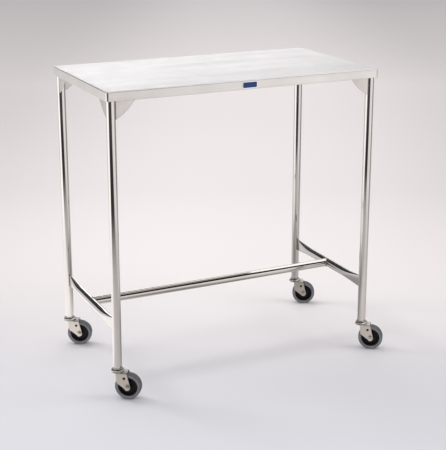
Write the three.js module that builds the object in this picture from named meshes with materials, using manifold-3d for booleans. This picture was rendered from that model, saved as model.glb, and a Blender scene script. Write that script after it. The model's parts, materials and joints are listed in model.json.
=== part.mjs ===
// Instrument cart: a stainless work surface on four tube legs, an H-shaped floor brace and four
// swivel casters. Millimetres, +Z up, X along the long side, -Y is the front with the label.
// The origin is on the floor under the centre of the cart's outer box.
import * as THREE from 'three';
import { mergeVertices } from 'three/addons/utils/BufferGeometryUtils.js';
import Module from 'manifold-3d';

const wasm = await Module();
wasm.setup();

// Driving dimensions

const gap = 0.3; // left between pieces that touch, seat or are welded together

const deck = {
  width: 838.2, // 33 in
  depth: 457.2, // 18 in
  height: 876.3, // top surface above the floor, 34.5 in
  skirt: 25.4, // height of the turned-down edge
  sheet: 1.2, // 18 gauge
  hem: 12, // height of the doubled lower edge of the skirt
  legClearance: 2.5, // between the hem and a leg
  cornerRadius: 7,
  edgeRadius: 2.4, // outside bend between the top and the skirt
};

const tube = { diameter: 25.4, wall: 1.6, segments: 20 };

const gusset = {
  thickness: 1.9,
  reach: 76, // along the skirt, from the leg's axis
  drop: 75, // below the underside of the deck
  forward: 7.5, // its mid-plane stands this far from the leg's axis, towards the skirt
  endHeight: 12, // height of the short outer edge under the deck
  bulge: 16, // rise of the curved edge's control point above the plate's foot
};

const brace = {
  height: 213, // axes of the rails and of the stretcher above the floor
  flatLength: 21, // a side rail is pressed quite flat this far from the leg's axis
  pressLength: 102, // and turns from round to flat along this stretch before it
  flatThickness: 3.4,
  ventRadius: 4, // hole between the rail's hollow and the stretcher's
  sections: 4, // cross-sections in each transition from round to flat
};

const label = { width: 46, height: 19, thickness: 0.8, cornerRadius: 4 };

const wheel = {
  radius: 37.5, // 3 in caster
  width: 24,
  shoulder: 5,
  treadDepth: 9.4, // of the tyre, from its surface to the core
  rimInset: 1, // of the core's rim, from the tyre's side
  rimDepth: 4.3,
  webThickness: 10,
  hubRadius: 11,
  hubProud: 1, // of the hub's end, beyond the tyre's side
  segments: 32,
};

const fork = {
  trail: 30, // from the swivel axis to the axle
  sheet: 2.5,
  sideClearance: 2, // between the wheel and each fork leg
  topClearance: 3.2, // between the wheel and the crown
  bendRadius: 1.1, // inside radius between crown and leg
  raceRadius: 19,
  front: 33, // top front corner of a leg, ahead of the axle
  frontLow: 31, // lower front corner, ahead of the axle
  frontLowRise: 13, // and above it
  rear: 2, // top rear corner, ahead of the axle
  tipRadius: 8.5, // round end about the axle
  cornerRadius: 5,
  holeRadius: 4, // brake hole
  holeAhead: 9,
  holeRise: 27,
};

const swivel = {
  stemRadius: 6,
  stemProud: 6, // of the stem's top, above the socket
  headRadius: 10,
  headHeight: 5,
  ringHeight: 3.2,
  ringWidth: 6.5,
  ringClearance: 1.2, // between the ball ring and the cap's edge
  capThickness: 3,
  capLip: 2.4, // how far the cap's edge turns down over the ring
  capSheet: 1.8,
  capChamfer: 1.6,
  flangeOverhang: 1.8, // of the socket's flange, beyond the leg
  flangeThickness: 2.9,
  flangeChamfer: 0.8,
  plugLength: 26, // of the socket inside the leg
};

const axle = {
  radius: 4, // 5/16 in bolt
  bushWall: 2,
  headAcross: 12.7,
  headHeight: 5,
  nutHeight: 6.5,
  threadBeyondNut: 2,
};

// Each corner of the cart, with the angle its wheel trails at, from +X
const corners = [
  { name: 'front_left', side: -1, end: -1, restAngle: -35 },
  { name: 'front_right', side: 1, end: -1, restAngle: -36 },
  { name: 'back_left', side: -1, end: 1, restAngle: -28 },
  { name: 'back_right', side: 1, end: 1, restAngle: -28 },
];

// Places worked out from them

const legRadius = tube.diameter / 2;
const legInset = 2 * deck.sheet + deck.legClearance + legRadius;
const legX = deck.width / 2 - legInset;
const legY = deck.depth / 2 - legInset;
const deckUnderside = deck.height - deck.sheet;
const gussetOffset = legInset - gusset.forward; // its mid-plane, inside the skirt's outer face
const gussetStart = gap // its inner edge meets the leg's side
  + Math.sqrt(legRadius ** 2 - (gusset.forward - gusset.thickness / 2) ** 2);
const crownUnderside = 2 * wheel.radius + fork.topClearance;
const crownTop = crownUnderside + fork.sheet;
const ringTop = crownTop + gap + swivel.ringHeight;
const capTop = ringTop + gap + swivel.capThickness;
const flangeTop = capTop + gap + swivel.flangeThickness;
const legBottom = flangeTop + gap;
const plugTop = flangeTop + swivel.plugLength;
const flatFrom = legY - brace.flatLength;
const roundHalf = flatFrom - brace.pressLength;
const forkInner = wheel.width / 2 + fork.sideClearance;
const forkOuter = forkInner + fork.sheet;
const bushRadius = axle.radius + gap + axle.bushWall;
const nutInner = forkOuter + gap; // the axle's head and nut both bear this far from the middle

// Materials

const finish = (color, roughness, metalness) =>
  new THREE.MeshStandardMaterial({ color, roughness, metalness });

const brushedSteel = finish(0xd8d4d2, 0.34, 1);
const polishedSteel = finish(0xcfcbc8, 0.2, 1);
const platedSteel = finish(0xc8c0b8, 0.38, 1);
const blackPlastic = finish(0x101014, 0.45, 0);
const greyRubber = finish(0x85858a, 0.7, 0);
const bluePlate = finish(0x1c3b78, 0.4, 0);

// Solids

function toSolid(geometry) {
  const bare = geometry.clone();
  bare.deleteAttribute('normal');
  bare.deleteAttribute('uv');
  const merged = mergeVertices(bare, 1e-4);
  return new wasm.Manifold(new wasm.Mesh({
    numProp: 3,
    vertProperties: new Float32Array(merged.attributes.position.array),
    triVerts: new Uint32Array(merged.index.array),
  }));
}

function toGeometry(solid) {
  const mesh = solid.getMesh();
  const geometry = new THREE.BufferGeometry();
  geometry.setAttribute('position', new THREE.BufferAttribute(mesh.vertProperties, 3));
  geometry.setIndex(new THREE.BufferAttribute(mesh.triVerts, 1));
  geometry.computeVertexNormals();
  return geometry;
}

// A closed profile of [radius, z] pairs, turned about Z
function turned(profile, segments) {
  const closed = [...profile, profile[0]].map(([r, z]) => new THREE.Vector2(r, z));
  return new THREE.LatheGeometry(closed, segments).rotateX(Math.PI / 2);
}

function rod(radius, length, segments = tube.segments) {
  return new THREE.CylinderGeometry(radius, radius, length, segments);
}

function ringProfile(inner, outer, bottom, top) {
  return [[inner, bottom], [outer, bottom], [outer, top], [inner, top]];
}

function roundedRectangle(width, height, radius) {
  const x = width / 2 - radius;
  const y = height / 2 - radius;
  const shape = new THREE.Shape();
  shape.absarc(x, y, radius, 0, Math.PI / 2);
  shape.absarc(-x, y, radius, Math.PI / 2, Math.PI);
  shape.absarc(-x, -y, radius, Math.PI, 1.5 * Math.PI);
  shape.absarc(x, -y, radius, 1.5 * Math.PI, 2 * Math.PI);
  return shape;
}

function plate(shape, depth, curveSegments = 3) {
  return new THREE.ExtrudeGeometry(shape, { depth, bevelEnabled: false, curveSegments });
}

function named(name, geometry, material) {
  const mesh = new THREE.Mesh(geometry, material);
  mesh.name = name;
  return mesh;
}

// Deck: a sheet with its edges turned down and hemmed

function deckLayer(inset, bottom, top) {
  const shape = roundedRectangle(
    deck.width - 2 * inset,
    deck.depth - 2 * inset,
    deck.cornerRadius - inset,
  );
  return plate(shape, top - bottom).translate(0, 0, bottom);
}

function deckOuter(bottom) {
  const shape = roundedRectangle(
    deck.width - 2 * deck.edgeRadius,
    deck.depth - 2 * deck.edgeRadius,
    deck.cornerRadius - deck.edgeRadius,
  );
  const rounded = new THREE.ExtrudeGeometry(shape, {
    depth: deck.skirt,
    bevelSize: deck.edgeRadius,
    bevelThickness: deck.edgeRadius,
    bevelSegments: 3,
    curveSegments: 3,
  });
  const body = toSolid(rounded.translate(0, 0, deck.height - deck.edgeRadius - deck.skirt));
  const lowerEdge = toSolid(deckLayer(0, bottom, deck.height));
  return body.intersect(lowerEdge);
}

function deckGeometry() {
  const bottom = deck.height - deck.skirt;
  const upperHollow = toSolid(deckLayer(deck.sheet, bottom + deck.hem, deckUnderside));
  const lowerHollow = toSolid(deckLayer(2 * deck.sheet, bottom - 1, bottom + deck.hem + 1));
  return toGeometry(deckOuter(bottom).subtract(upperHollow).subtract(lowerHollow));
}

function labelMesh() {
  const shape = roundedRectangle(label.width, label.height, label.cornerRadius);
  const geometry = plate(shape, label.thickness).rotateX(Math.PI / 2);
  const mesh = named('label_plate', geometry, bluePlate);
  mesh.position.set(0, -deck.depth / 2 - gap, deck.height - deck.skirt / 2);
  return mesh;
}

// Legs and their gussets

function legMesh(corner) {
  const top = deckUnderside - gap;
  const profile = ringProfile(legRadius - tube.wall, legRadius, legBottom, top);
  const mesh = named(`leg_${corner.name}`, turned(profile, tube.segments), polishedSteel);
  mesh.position.set(corner.side * legX, corner.end * legY, 0);
  return mesh;
}

// Seen from its flat side: the leg's axis is at 0 and the underside of the deck at 0
function gussetGeometry() {
  const shape = new THREE.Shape();
  shape.moveTo(gussetStart, -gap);
  shape.lineTo(gussetStart, -gusset.drop);
  shape.quadraticCurveTo(gusset.reach * 0.6, -gusset.drop + gusset.bulge,
    gusset.reach, -gusset.endHeight);
  shape.lineTo(gusset.reach, -gap);
  const solid = plate(shape, gusset.thickness, 8);
  return solid.translate(0, 0, -gusset.thickness / 2).rotateX(Math.PI / 2);
}

function gussetMeshes(corner) {
  const alongSkirt = named(`gusset_${corner.name}_long`, gussetGeometry(), brushedSteel);
  alongSkirt.rotation.z = corner.side < 0 ? 0 : Math.PI;
  alongSkirt.position.set(
    corner.side * legX,
    corner.end * (deck.depth / 2 - gussetOffset),
    deckUnderside,
  );
  const alongEnd = named(`gusset_${corner.name}_end`, gussetGeometry(), brushedSteel);
  alongEnd.rotation.z = -corner.end * Math.PI / 2;
  alongEnd.position.set(
    corner.side * (deck.width / 2 - gussetOffset),
    corner.end * legY,
    deckUnderside,
  );
  return [alongSkirt, alongEnd];
}

// Brace: side rails pressed flat at their ends, and a stretcher between them

function pressedSection(flatness, inset, y) {
  const round = tube.diameter;
  const thickness = THREE.MathUtils.lerp(round, brace.flatThickness, flatness);
  const height = (Math.PI * round - Math.PI * thickness) / 2 + thickness;
  const radius = thickness / 2 - inset;
  const straight = (height - thickness) / 2;
  const points = [];
  for (let i = 0; i < tube.segments; i++) {
    const angle = ((i + 0.5) / tube.segments) * 2 * Math.PI;
    const z = radius * Math.sin(angle) + Math.sign(Math.sin(angle)) * straight;
    points.push([radius * Math.cos(angle), y, z]);
  }
  return points;
}

// Joins rings of points, in order along +Y, into one closed solid
function loft(rings) {
  const count = rings[0].length;
  const index = [];
  for (let j = 0; j + 1 < rings.length; j++) {
    for (let i = 0; i < count; i++) {
      const a = j * count + i;
      const b = j * count + ((i + 1) % count);
      index.push(a, a + count, b);
      index.push(b, a + count, b + count);
    }
  }
  const last = (rings.length - 1) * count;
  for (let i = 1; i + 1 < count; i++) {
    index.push(0, i, i + 1);
    index.push(last, last + i + 1, last + i);
  }
  const geometry = new THREE.BufferGeometry();
  geometry.setAttribute('position', new THREE.Float32BufferAttribute(rings.flat(2), 3));
  geometry.setIndex(index);
  return toSolid(geometry);
}

function pressedTube(halfLength, maxFlatness, inset) {
  const half = [];
  for (let i = 0; i <= brace.sections; i++) {
    const share = i / brace.sections;
    const flatness = THREE.MathUtils.smoothstep(share, 0, 1);
    if (flatness <= maxFlatness) {
      const y = THREE.MathUtils.lerp(roundHalf, flatFrom, share);
      half.push(pressedSection(flatness, inset, y));
    }
  }
  if (halfLength > flatFrom) {
    half.push(pressedSection(1, inset, halfLength));
  }
  const mirrored = half.map((ring) => ring.map(([x, y, z]) => [x, -y, z])).reverse();
  return loft([...mirrored, ...half]);
}

function sideRailMesh(name, side) {
  const legCut = (end) => toSolid(
    rod(legRadius + gap, 80).rotateX(Math.PI / 2).translate(0, end * legY, 0),
  );
  const vent = toSolid(
    rod(brace.ventRadius, tube.diameter, 12).rotateZ(Math.PI / 2)
      .translate(-side * legRadius, 0, 0),
  );
  const solid = pressedTube(legY - legRadius / 2, 1, 0)
    .subtract(pressedTube(0, 0.9, tube.wall))
    .subtract(vent)
    .subtract(legCut(-1))
    .subtract(legCut(1));
  const mesh = named(name, toGeometry(solid), polishedSteel);
  mesh.position.set(side * legX, 0, brace.height);
  return mesh;
}

function stretcherMesh() {
  const length = 2 * legX;
  const railCut = (side) => toSolid(rod(legRadius + gap, 80).translate(side * legX, 0, 0));
  const solid = toSolid(rod(legRadius, length).rotateZ(Math.PI / 2))
    .subtract(toSolid(rod(legRadius - tube.wall, length + 2).rotateZ(Math.PI / 2)))
    .subtract(railCut(-1))
    .subtract(railCut(1));
  const mesh = named('centre_stretcher', toGeometry(solid), polishedSteel);
  mesh.position.z = brace.height;
  return mesh;
}

// Caster, in its own frame: the swivel axis is Z and the wheel trails along +X

function socketGeometry() {
  const bore = swivel.stemRadius + gap;
  const plug = legRadius - tube.wall - gap;
  const flange = legRadius + swivel.flangeOverhang;
  const bottom = flangeTop - swivel.flangeThickness;
  return turned([
    [bore, bottom],
    [flange - swivel.flangeChamfer, bottom],
    [flange, bottom + swivel.flangeChamfer],
    [flange, flangeTop],
    [plug, flangeTop],
    [plug, plugTop],
    [bore, plugTop],
  ], tube.segments);
}

function stemGeometry() {
  const top = plugTop + swivel.stemProud;
  const headTop = crownUnderside - gap;
  return turned([
    [0, headTop - swivel.headHeight],
    [swivel.headRadius - 2, headTop - swivel.headHeight],
    [swivel.headRadius, headTop - swivel.headHeight + 2],
    [swivel.headRadius, headTop],
    [swivel.stemRadius, headTop],
    [swivel.stemRadius, top - 1],
    [swivel.stemRadius - 1, top],
    [0, top],
  ], 16);
}

// Dished cap that closes the ball race from above
function capGeometry() {
  const web = capTop - swivel.capThickness;
  const lipInner = fork.raceRadius - swivel.capSheet;
  return turned([
    [swivel.stemRadius + gap, web],
    [lipInner, web],
    [lipInner, web - swivel.capLip],
    [fork.raceRadius, web - swivel.capLip],
    [fork.raceRadius, capTop - swivel.capChamfer],
    [fork.raceRadius - swivel.capChamfer, capTop],
    [swivel.stemRadius + gap, capTop],
  ], tube.segments);
}

function ballRingGeometry() {
  const outer = fork.raceRadius - swivel.capSheet - swivel.ringClearance;
  const profile = ringProfile(outer - swivel.ringWidth, outer, crownTop + gap, ringTop);
  return turned(profile, tube.segments);
}

// Angle at which a line from a point touches the fork's round end
function tangentAngle(x, z, turn) {
  return Math.atan2(z, x) + turn * Math.acos(fork.tipRadius / Math.hypot(x, z));
}

function forkLegShape() {
  const top = crownTop - wheel.radius;
  const { front, frontLow, frontLowRise, rear, tipRadius, cornerRadius } = fork;
  const start = tangentAngle(-frontLow, frontLowRise, 1);
  const end = tangentAngle(-rear, top, -1) + 2 * Math.PI;
  const touch = new THREE.Vector2(Math.cos(start), Math.sin(start)).multiplyScalar(tipRadius);
  const corner = new THREE.Vector2(-frontLow, frontLowRise);
  const after = touch.clone().sub(corner).setLength(cornerRadius).add(corner);
  const shape = new THREE.Shape();
  shape.moveTo(-front, top);
  shape.lineTo(-frontLow, frontLowRise + cornerRadius);
  shape.quadraticCurveTo(corner.x, corner.y, after.x, after.y);
  shape.lineTo(touch.x, touch.y);
  shape.absarc(0, 0, tipRadius, start, end);
  shape.lineTo(-rear, top);
  const axleHole = new THREE.Path().absarc(0, 0, axle.radius + gap, 0, 2 * Math.PI, true);
  const brakeHole = new THREE.Path()
    .absarc(-fork.holeAhead, fork.holeRise, fork.holeRadius, 0, 2 * Math.PI, true);
  shape.holes.push(axleHole, brakeHole);
  return shape;
}

// Cross-section of crown and legs, an inverted U
function forkBend(halfWidth, top, radius, bottom) {
  const shape = new THREE.Shape();
  shape.moveTo(-halfWidth, bottom);
  shape.lineTo(halfWidth, bottom);
  shape.lineTo(halfWidth, top - radius);
  shape.absarc(halfWidth - radius, top - radius, radius, 0, Math.PI / 2);
  shape.absarc(-halfWidth + radius, top - radius, radius, Math.PI / 2, Math.PI);
  return shape;
}

function forkGeometry() {
  const lowest = -fork.tipRadius - 5;
  const length = 4 * fork.front;
  const bend = (halfWidth, top, radius, bottom) => toSolid(
    plate(forkBend(halfWidth, top - wheel.radius, radius, bottom), length, 3)
      .rotateX(Math.PI / 2).rotateZ(Math.PI / 2).translate(-length / 2, 0, 0),
  );
  const outer = bend(forkOuter, crownTop, fork.bendRadius + fork.sheet, lowest);
  const inner = bend(forkInner, crownUnderside, fork.bendRadius, lowest - 5);
  const legs = toSolid(
    plate(forkLegShape(), 4 * forkOuter, 6).rotateX(Math.PI / 2).translate(0, 2 * forkOuter, 0),
  );
  const middle = (crownTop + crownUnderside) / 2 - wheel.radius;
  const race = toSolid(
    rod(fork.raceRadius, fork.sheet).rotateX(Math.PI / 2).translate(-fork.trail, 0, middle),
  );
  const pinHole = toSolid(
    rod(swivel.stemRadius + gap, 20, 12).rotateX(Math.PI / 2).translate(-fork.trail, 0, middle),
  );
  return toGeometry(outer.subtract(inner).intersect(legs).add(race).subtract(pinHole));
}

function tyreGeometry() {
  const half = wheel.width / 2;
  const { radius, shoulder } = wheel;
  const inner = radius - wheel.treadDepth;
  const profile = [[inner, -half], [radius - shoulder, -half]];
  const arc = shoulder * Math.SQRT1_2;
  profile.push([radius - shoulder + arc, -half + shoulder - arc]);
  profile.push([radius, -half + shoulder]);
  const mirrored = profile.map(([r, z]) => [r, -z]).reverse();
  return turned([...profile, ...mirrored], wheel.segments).rotateX(Math.PI / 2);
}

function coreGeometry() {
  const bore = bushRadius + gap;
  const { hubRadius, webThickness } = wheel;
  const hubEnd = wheel.width / 2 + wheel.hubProud;
  const rimEnd = wheel.width / 2 - wheel.rimInset;
  const outer = wheel.radius - wheel.treadDepth - gap;
  const rimInner = outer - wheel.rimDepth;
  const half = [
    [bore, -hubEnd],
    [hubRadius, -hubEnd],
    [hubRadius, -webThickness / 2],
    [rimInner, -webThickness / 2],
    [rimInner, -rimEnd],
    [outer, -rimEnd],
  ];
  const mirrored = half.map(([r, z]) => [r, -z]).reverse();
  return turned([...half, ...mirrored], tube.segments).rotateX(Math.PI / 2);
}

function bushGeometry() {
  const half = forkInner - gap;
  const profile = ringProfile(axle.radius + gap, bushRadius, -half, half);
  return turned(profile, 16).rotateX(Math.PI / 2);
}

function hexagon(across) {
  return new THREE.CylinderGeometry(across / Math.sqrt(3), across / Math.sqrt(3), 1, 6);
}

function boltGeometry() {
  const tip = nutInner + axle.nutHeight + axle.threadBeyondNut;
  const end = -nutInner - axle.headHeight / 2;
  const shank = rod(axle.radius, tip - end, 16).translate(0, (tip + end) / 2, 0);
  const head = hexagon(axle.headAcross).scale(1, axle.headHeight, 1).translate(0, end, 0);
  return toGeometry(toSolid(shank).add(toSolid(head)));
}

function nutGeometry() {
  const body = hexagon(axle.headAcross).scale(1, axle.nutHeight, 1)
    .translate(0, nutInner + axle.nutHeight / 2, 0);
  const bore = rod(axle.radius + gap, 4 * axle.nutHeight, 16).translate(0, nutInner, 0);
  return toGeometry(toSolid(body).subtract(toSolid(bore)));
}

function caster(corner) {
  const group = new THREE.Group();
  const add = (name, geometry, material) => {
    const mesh = named(`${name}_${corner.name}`, geometry, material);
    group.add(mesh);
    return mesh;
  };
  add('leg_socket', socketGeometry(), platedSteel);
  add('caster_stem', stemGeometry(), platedSteel);
  add('race_cap', capGeometry(), platedSteel);
  add('ball_ring', ballRingGeometry(), platedSteel);
  const onAxle = [
    add('caster_fork', forkGeometry(), platedSteel),
    add('tyre', tyreGeometry(), greyRubber),
    add('wheel_core', coreGeometry(), blackPlastic),
    add('axle_bush', bushGeometry(), platedSteel),
    add('axle_bolt', boltGeometry(), platedSteel),
    add('axle_nut', nutGeometry(), platedSteel),
  ];
  for (const mesh of onAxle) {
    mesh.position.set(fork.trail, 0, wheel.radius);
  }
  group.position.set(corner.side * legX, corner.end * legY, 0);
  group.rotation.z = THREE.MathUtils.degToRad(corner.restAngle);
  return group;
}

// Assembly

const cart = new THREE.Group();
cart.add(named('deck', deckGeometry(), brushedSteel), labelMesh());
for (const corner of corners) {
  cart.add(legMesh(corner), ...gussetMeshes(corner), caster(corner));
}
cart.add(sideRailMesh('side_rail_left', -1), sideRailMesh('side_rail_right', 1));
cart.add(stretcherMesh());

const box = new THREE.Box3().setFromObject(cart);
cart.position.set(-(box.min.x + box.max.x) / 2, -(box.min.y + box.max.y) / 2, -box.min.z);

export default new THREE.Group().add(cart);
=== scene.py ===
import json
import math

import bmesh
import bpy
from mathutils import Matrix, Vector


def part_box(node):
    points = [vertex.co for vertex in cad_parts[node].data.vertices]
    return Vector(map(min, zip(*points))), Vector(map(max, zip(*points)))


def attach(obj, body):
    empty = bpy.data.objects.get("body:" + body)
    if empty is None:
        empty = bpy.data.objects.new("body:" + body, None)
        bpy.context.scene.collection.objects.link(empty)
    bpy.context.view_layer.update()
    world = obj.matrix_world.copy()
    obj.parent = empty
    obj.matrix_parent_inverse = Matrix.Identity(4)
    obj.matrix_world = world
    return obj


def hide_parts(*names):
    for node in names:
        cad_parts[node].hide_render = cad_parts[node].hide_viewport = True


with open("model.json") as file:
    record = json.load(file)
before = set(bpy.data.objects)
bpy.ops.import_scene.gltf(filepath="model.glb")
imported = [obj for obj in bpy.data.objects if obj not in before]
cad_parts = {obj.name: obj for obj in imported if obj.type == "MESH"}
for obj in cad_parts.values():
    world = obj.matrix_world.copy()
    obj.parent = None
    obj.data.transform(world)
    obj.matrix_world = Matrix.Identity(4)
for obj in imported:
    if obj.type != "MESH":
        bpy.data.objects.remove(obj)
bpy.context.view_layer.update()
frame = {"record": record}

mm = 0.001
fullTurn = 2 * math.pi
upright = Matrix.Rotation(math.pi / 2, 4, "X")  # stands a flat outline up
joints = {j["name"]: j for j in frame["record"]["behaviour"]["joints"]}
corners = ("front_left", "front_right", "back_left", "back_right")
deckLow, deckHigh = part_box("deck")
deckMid = (deckLow + deckHigh) / 2


# Camera, floor and light

cameraSet = {
    "azimuth": -25.7,
    "elevation": 15.8,
    "distance": 3.453,
    "lens": 91.2,
    "shiftY": -0.08,
    "aimRight": 0.030,  # of the deck's middle
    "aimBack": 0.005,
    "aimHeight": 0.502,
}

studio = {
    "floorRadius": 40.0,
    "toneStart": -1.8,  # the floor's painted light tones run from here, in metres behind the middle
    "toneLength": 12.0,
    "sideMiddle": 0.15,
    "sideStart": 0.2,  # the floor's painted light dims sideways from here, as painted shade
    "sideEnd": 1.7,
    "sideShadeDim": 0.80,
    "sky": 0.78,
    "lightAim": 0.4,  # height that the softboxes point at
}

# Metres behind the cart's middle, and the floor's colour there, with the studio light painted in: darker
# near the camera, a painted pool of light further back, dimmer far off
floorLightTones = (
    (-0.6, (0.65, 0.648, 0.69)),
    (0.6, (0.71, 0.668, 0.668)),
    (1.8, (0.71, 0.668, 0.668)),
    (4.44, (0.95, 0.89, 0.895)),
    (9.6, (0.78, 0.735, 0.745)),
)

# Straight down is 0, the horizon 0.5 and straight up 1
skyTones = (
    (0.48, (0.62, 0.60, 0.605)),
    (0.56, (0.88, 0.87, 0.87)),
    (0.70, (1.0, 1.0, 1.0)),
    (1.0, (1.0, 1.0, 1.0)),
)

# Degrees round from the camera, degrees up, distance, size and power
softboxes = {
    "overheadBox": (-150, 66, 3.2, 2.2, 30.0),
    "leftBox": (-105, 44, 3.4, 0.9, 36.0),
    "rightBox": (88, 46, 3.4, 1.6, 27.0),
}

# What polished metal sees: degrees round from the camera, and the brightness there
mirrorRing = (
    (-180, 0.9), (-150, 0.8), (-128, 0.8), (-110, 1.15), (-98, 1.75), (-58, 1.75), (-47, 0.05),
    (14, 0.05), (26, 1.15), (74, 1.25), (92, 0.45), (142, 0.45), (160, 0.9), (180, 1.0),
)
mirrorNear = (
    (-180, 0.95), (-135, 0.9), (-105, 1.5), (-62, 1.5), (-40, 0.85), (-10, 0.72), (25, 0.70),
    (60, 0.95), (110, 0.7), (150, 0.8), (180, 0.95),
)
mirrorBack = (
    (-180, 2.6), (-172, 3.1), (-164, 2.5), (-150, 0.9), (146, 0.85), (164, 0.95), (180, 2.6),
)

# Four angles say where a part of it starts, is full, starts to fade and ends
mirrorSet = {
    "radius": 9.0,
    "around": 240,  # points in each ring
    "firstRing": 0.05,
    "ringGrowth": 1.09,
    "ringRise": 1.5,  # degrees between the dome's rings
    "floorLift": 0.002,
    "nearEdge": 0.85,  # the floor is as bright as mirrorNear up to here
    "farEdge": 2.6,
    "underDeck": 0.5,  # in the shade below the cart
    "shadeEdge": (0.15, 0.55),
    "dark": 0.035,
    "bandTop": (18, 24),  # degrees up, where the bright band ends
    "flagTop": (13, 18),  # and where it ends behind the cart's left
    "flagSpan": (-160, -154, -132, -126),
    "backSpan": (140, 160),
    "backRise": (7, 18),
    "backLow": 0.45,
    "ceiling": 0.9,
    "ceilingFrom": (20, 30),  # at both sides
    "leftSpan": (-125, -118, -58, -50),
    "rightSpan": (78, 84, 170, 178),
    "crownFrom": (58, 64),  # everywhere else
    "boxSpan": (79, 84, 175, 179),
    "boxRise": (40, 44, 76, 80),
    "boxGlow": 0.9,
    "warm": (1, 0.985, 0.975),  # light off the floor
    "cool": (1, 1.012, 1.036),  # and from above
    "coolFrom": (0.4, 2.2),  # heights between which the one turns into the other
}


def directionFrom(azimuth, elevation):
    a, e = math.radians(azimuth), math.radians(elevation)
    return Vector((math.sin(a) * math.cos(e), -math.cos(a) * math.cos(e), math.sin(e)))


def addCamera():
    back = directionFrom(cameraSet["azimuth"], cameraSet["elevation"])
    aim = Vector((
        deckMid.x + cameraSet["aimRight"],
        deckMid.y + cameraSet["aimBack"],
        cameraSet["aimHeight"],
    ))
    data = bpy.data.cameras.new("camera")
    data.lens = cameraSet["lens"]
    data.sensor_width = 36
    data.shift_y = cameraSet["shiftY"]
    camera = bpy.data.objects.new("camera", data)
    camera.location = aim + back * cameraSet["distance"]
    camera.rotation_mode = "QUATERNION"
    camera.rotation_quaternion = (-back).to_track_quat("-Z", "Y")
    bpy.context.collection.objects.link(camera)
    bpy.context.scene.camera = camera


def addRamp(tree, stops):
    ramp = tree.nodes.new("ShaderNodeValToRGB")
    elements = ramp.color_ramp.elements
    while len(elements) < len(stops):
        elements.new(0.5)
    for element, (position, colour) in zip(elements, stops):
        element.position = position
        element.color = (*colour, 1)
    return ramp


def addMath(tree, operation, first, second):
    node = tree.nodes.new("ShaderNodeMath")
    node.operation = operation
    for socket, value in zip(node.inputs, (first, second)):
        if isinstance(value, (int, float)):
            socket.default_value = value
        else:
            tree.links.new(value, socket)
    return node.outputs[0]


def spread(tree, source, low, high, fromLow=0.3, fromHigh=0.7):
    node = tree.nodes.new("ShaderNodeMapRange")
    node.inputs["From Min"].default_value = fromLow
    node.inputs["From Max"].default_value = fromHigh
    node.inputs["To Min"].default_value = low
    node.inputs["To Max"].default_value = high
    tree.links.new(source, node.inputs["Value"])
    return node.outputs[0]


def mixColour(tree, factor, first, second):
    node = tree.nodes.new("ShaderNodeMix")
    node.data_type = "RGBA"
    tree.links.new(factor, node.inputs[0])
    for socket, value in ((node.inputs[6], first), (node.inputs[7], second)):
        if isinstance(value, tuple):
            socket.default_value = (*value, 1)
        else:
            tree.links.new(value, socket)
    return node.outputs[2]


def glowMaterial(name):
    material = bpy.data.materials.new(name)
    material.use_nodes = True
    tree = material.node_tree
    tree.nodes.clear()
    amount = tree.nodes.new("ShaderNodeAttribute")
    amount.attribute_name = "glow"
    glow = tree.nodes.new("ShaderNodeEmission")
    place = tree.nodes.new("ShaderNodeTexCoord")
    split = tree.nodes.new("ShaderNodeSeparateXYZ")
    tree.links.new(place.outputs["Object"], split.inputs[0])
    height = spread(tree, split.outputs["Z"], 0, 1, *mirrorSet["coolFrom"])
    tree.links.new(mixColour(tree, height, mirrorSet["warm"], mirrorSet["cool"]), glow.inputs["Color"])
    out = tree.nodes.new("ShaderNodeOutputMaterial")
    tree.links.new(amount.outputs["Fac"], glow.inputs["Strength"])
    tree.links.new(glow.outputs[0], out.inputs["Surface"])
    return material


def floorMaterial():
    material = bpy.data.materials.new("studioFloor")
    material.use_nodes = True
    tree = material.node_tree
    shader = tree.nodes["Principled BSDF"]
    shader.inputs["Roughness"].default_value = 0.85
    shader.inputs["Specular IOR Level"].default_value = 0.1
    place = tree.nodes.new("ShaderNodeTexCoord")
    turn = tree.nodes.new("ShaderNodeMapping")
    turn.inputs["Rotation"].default_value = (0, 0, -math.radians(cameraSet["azimuth"]))
    split = tree.nodes.new("ShaderNodeSeparateXYZ")
    tree.links.new(place.outputs["Object"], turn.inputs["Vector"])
    tree.links.new(turn.outputs[0], split.inputs[0])
    start, length = studio["toneStart"], studio["toneLength"]
    depth = addMath(tree, "MULTIPLY_ADD", split.outputs["Y"], 1 / length)
    depth.node.inputs[2].default_value = -start / length
    # Painted light: the floor's colour carries the studio light's pool, and the sideways dimming is painted
    # shade
    ramp = addRamp(tree, [((y - start) / length, colour) for y, colour in floorLightTones])
    tree.links.new(depth, ramp.inputs[0])
    across = addMath(tree, "SUBTRACT", split.outputs["X"], studio["sideMiddle"])
    aside = addMath(tree, "ABSOLUTE", across, 0)
    sideShade = spread(tree, aside, 1, studio["sideShadeDim"], studio["sideStart"], studio["sideEnd"])
    sideShade.node.interpolation_type = "SMOOTHSTEP"
    dimmed = tree.nodes.new("ShaderNodeVectorMath")
    dimmed.operation = "SCALE"
    tree.links.new(ramp.outputs[0], dimmed.inputs[0])
    tree.links.new(sideShade, dimmed.inputs["Scale"])
    tree.links.new(dimmed.outputs[0], shader.inputs["Base Color"])
    return material


def addFloor():
    count = 96
    ring = [(studio["floorRadius"] * math.cos(i / count * fullTurn),
             studio["floorRadius"] * math.sin(i / count * fullTurn), 0) for i in range(count)]
    mesh = bpy.data.meshes.new("studioFloor")
    mesh.from_pydata(ring, [], [tuple(range(count))])
    mesh.materials.append(floorMaterial())
    floor = bpy.data.objects.new("studioFloor", mesh)
    bpy.context.collection.objects.link(floor)


# Goes softly from 0 at low to 1 at high
def between(value, low, high):
    t = min(max((value - low) / (high - low), 0), 1)
    return t * t * (3 - 2 * t)


def ringValue(ring, angle):
    for (a, low), (b, high) in zip(ring, ring[1:]):
        if angle <= b:
            return low + (high - low) * between(angle, a, b)
    return ring[-1][1]


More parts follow.
